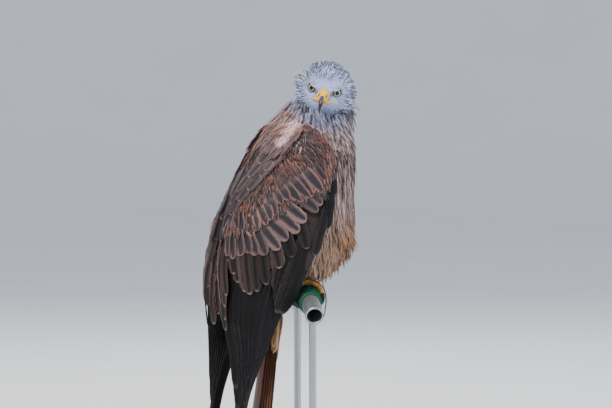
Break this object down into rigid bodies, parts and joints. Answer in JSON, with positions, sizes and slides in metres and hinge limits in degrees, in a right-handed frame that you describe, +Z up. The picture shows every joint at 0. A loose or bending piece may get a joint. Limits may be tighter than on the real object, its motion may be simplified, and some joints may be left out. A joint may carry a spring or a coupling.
{
  "type": "red kite bird",
  "caption": "Life-size still model of a perched bird of prey, head turned over its shoulder, on a short cut bow perch held by a plain display stand.",
  "frame": {"origin": "centre of the underside of the stand's base", "axes": "+Z up, the bird faces -Y and its left side is +X"},
  "size_m": [0.226, 0.226, 0.5979],
  "materials": {
    "body_feathers": "soft streaked feathers",
    "head_feathers": "fine pale streaked feathers",
    "wing_feathers": "smooth dark vanes with pale fringes",
    "tail_feathers": "smooth rufous vanes",
    "eye": "wet gloss",
    "cere_skin": "waxy yellow skin",
    "horn": "polished dark horn",
    "foot_skin": "scaled yellow skin",
    "strap": "soft brown leather",
    "perch_metal": "dull galvanised",
    "perch_turf": "short green synthetic pile",
    "stand_wood": "satin lacquer",
    "stand_steel": "brushed"
  },
  "bodies": {
    "root": {"torso": "body_feathers", "neck": "body_feathers", "head": "head_feathers", "eye_left": "eye", "eye_right": "eye", "cere": "cere_skin", "bill_upper": "horn", "bill_lower": "horn", "wing_left": "wing_feathers", "wing_right": "wing_feathers", "tail": "tail_feathers", "thigh_left": "body_feathers", "thigh_right": "body_feathers", "foot_left": "foot_skin", "foot_right": "foot_skin", "claw_left_front": "horn", "claw_left_inner": "horn", "claw_left_outer": "horn", "claw_left_hind": "horn", "claw_right_front": "horn", "claw_right_inner": "horn", "claw_right_outer": "horn", "claw_right_hind": "horn", "anklet_left": "strap", "anklet_right": "strap", "jess_left": "strap", "jess_right": "strap", "perch_tube": "perch_metal", "perch_turf": "perch_turf", "stand_base": "stand_wood", "stand_rod_left": "stand_steel", "stand_rod_right": "stand_steel"}
  },
  "joints": []
}
